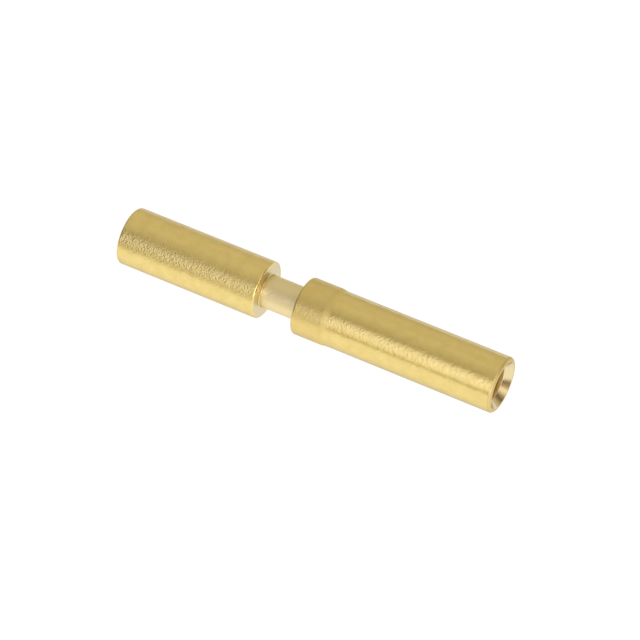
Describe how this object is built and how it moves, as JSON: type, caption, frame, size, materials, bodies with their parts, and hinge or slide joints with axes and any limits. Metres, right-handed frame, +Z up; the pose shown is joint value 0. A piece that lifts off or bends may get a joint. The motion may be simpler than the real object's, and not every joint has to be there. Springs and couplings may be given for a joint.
{
  "type": "crimp socket contact",
  "caption": "Round gold-plated crimp socket contact: a plain front barrel with an inner spring cage, a narrow neck for a retaining clip, a collar and an open crimp barrel for a stripped wire.",
  "frame": {"origin": "on the axis, in the plane of the locking shoulder where the front barrel meets the neck", "axes": "+X along the axis from the socket's front face towards the wire mouth, +Z up, and the inspection hole opens towards +Y"},
  "size_m": [0.0189, 0.0026, 0.0028],
  "materials": {
    "gold_plate": "turned copper alloy with a thin satin gold plate",
    "spring_plate": "stamped and rolled spring alloy with a thin bright gold plate"
  },
  "bodies": {
    "root": {"contact_body": "gold_plate", "contact_spring": "spring_plate"}
  },
  "joints": []
}
